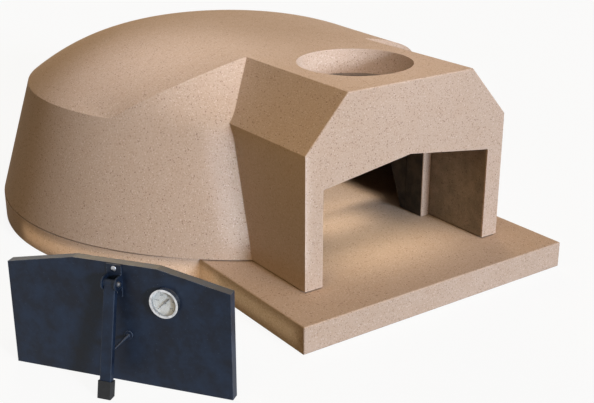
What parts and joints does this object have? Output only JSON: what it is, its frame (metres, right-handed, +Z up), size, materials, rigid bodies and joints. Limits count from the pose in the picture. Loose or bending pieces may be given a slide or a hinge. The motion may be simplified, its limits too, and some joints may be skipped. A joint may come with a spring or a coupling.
{
  "type": "wood-fired oven",
  "caption": "Domed fireclay oven on a hearth, with a gabled mouth hood, a round flue outlet on top and a separate lift-off steel door with a prop handle and a dial thermometer.",
  "frame": {"origin": "on the dome's axis, on the underside of the hearth", "axes": "+Z up along the dome's axis, -Y out of the mouth, +X to the right of someone facing the dome from the mouth"},
  "size_m": [1.3674, 1.4659, 0.455],
  "materials": {
    "fireclay": "dry-pressed, speckled, matt",
    "mortar": "bed mortar, struck back",
    "door_paint": "satin heat-proof paint",
    "insulation_board": "fibrous board",
    "bare_steel": "plain zinc grey",
    "bright_steel": "polished",
    "foot_rubber": "matt",
    "dial_white": "matt white",
    "needle_black": "matt black",
    "dial_glass": "clear",
    "bimetal": "plain strip"
  },
  "bodies": {
    "oven": {"hearth_front_slab": "fireclay", "hearth_rear_left": "fireclay", "hearth_rear_right": "fireclay", "dome_front_left": "fireclay", "dome_front_right": "fireclay", "dome_rear_left": "fireclay", "dome_rear_right": "fireclay", "mouth_hood": "fireclay", "doorway_jamb_left": "fireclay", "doorway_jamb_right": "fireclay", "doorway_lintel": "fireclay", "mortar_bed": "mortar"},
    "door": {"door_panel": "door_paint", "door_back_sheet": "door_paint", "handle_bracket": "door_paint", "handle_stop": "door_paint", "door_insulation": "insulation_board", "bracket_rivets": "bare_steel", "handle_pin": "bare_steel", "handle_pin_clip": "bare_steel", "thermometer_case": "bare_steel", "thermometer_stem": "bare_steel", "thermometer_washer": "bare_steel", "thermometer_nut": "bare_steel", "thermometer_bezel": "bright_steel", "thermometer_dial": "dial_white", "thermometer_glass": "dial_glass", "bimetal_coil": "bimetal"},
    "handle": {"handle_leg": "door_paint", "handle_foot_cap": "foot_rubber"},
    "needle": {"thermometer_needle": "needle_black", "needle_spindle": "bare_steel"}
  },
  "joints": [
    {"name": "door_lift", "type": "slide", "parent": "oven", "child": "door", "axis": [0, 0, 1], "range_m": [0, 0.3]},
    {"name": "handle_swing", "type": "hinge", "parent": "door", "child": "handle", "pos_m": [-0.68194, -0.7294, 0.199], "axis": [-0.5878, 0.809, 0], "range_deg": [0, 70]},
    {"name": "needle_turn", "type": "hinge", "parent": "door", "child": "needle", "pos_m": [-0.61662, -0.80061, 0.172], "axis": [0.809, 0.5878, 0], "range_deg": [0, 270]}
  ]
}
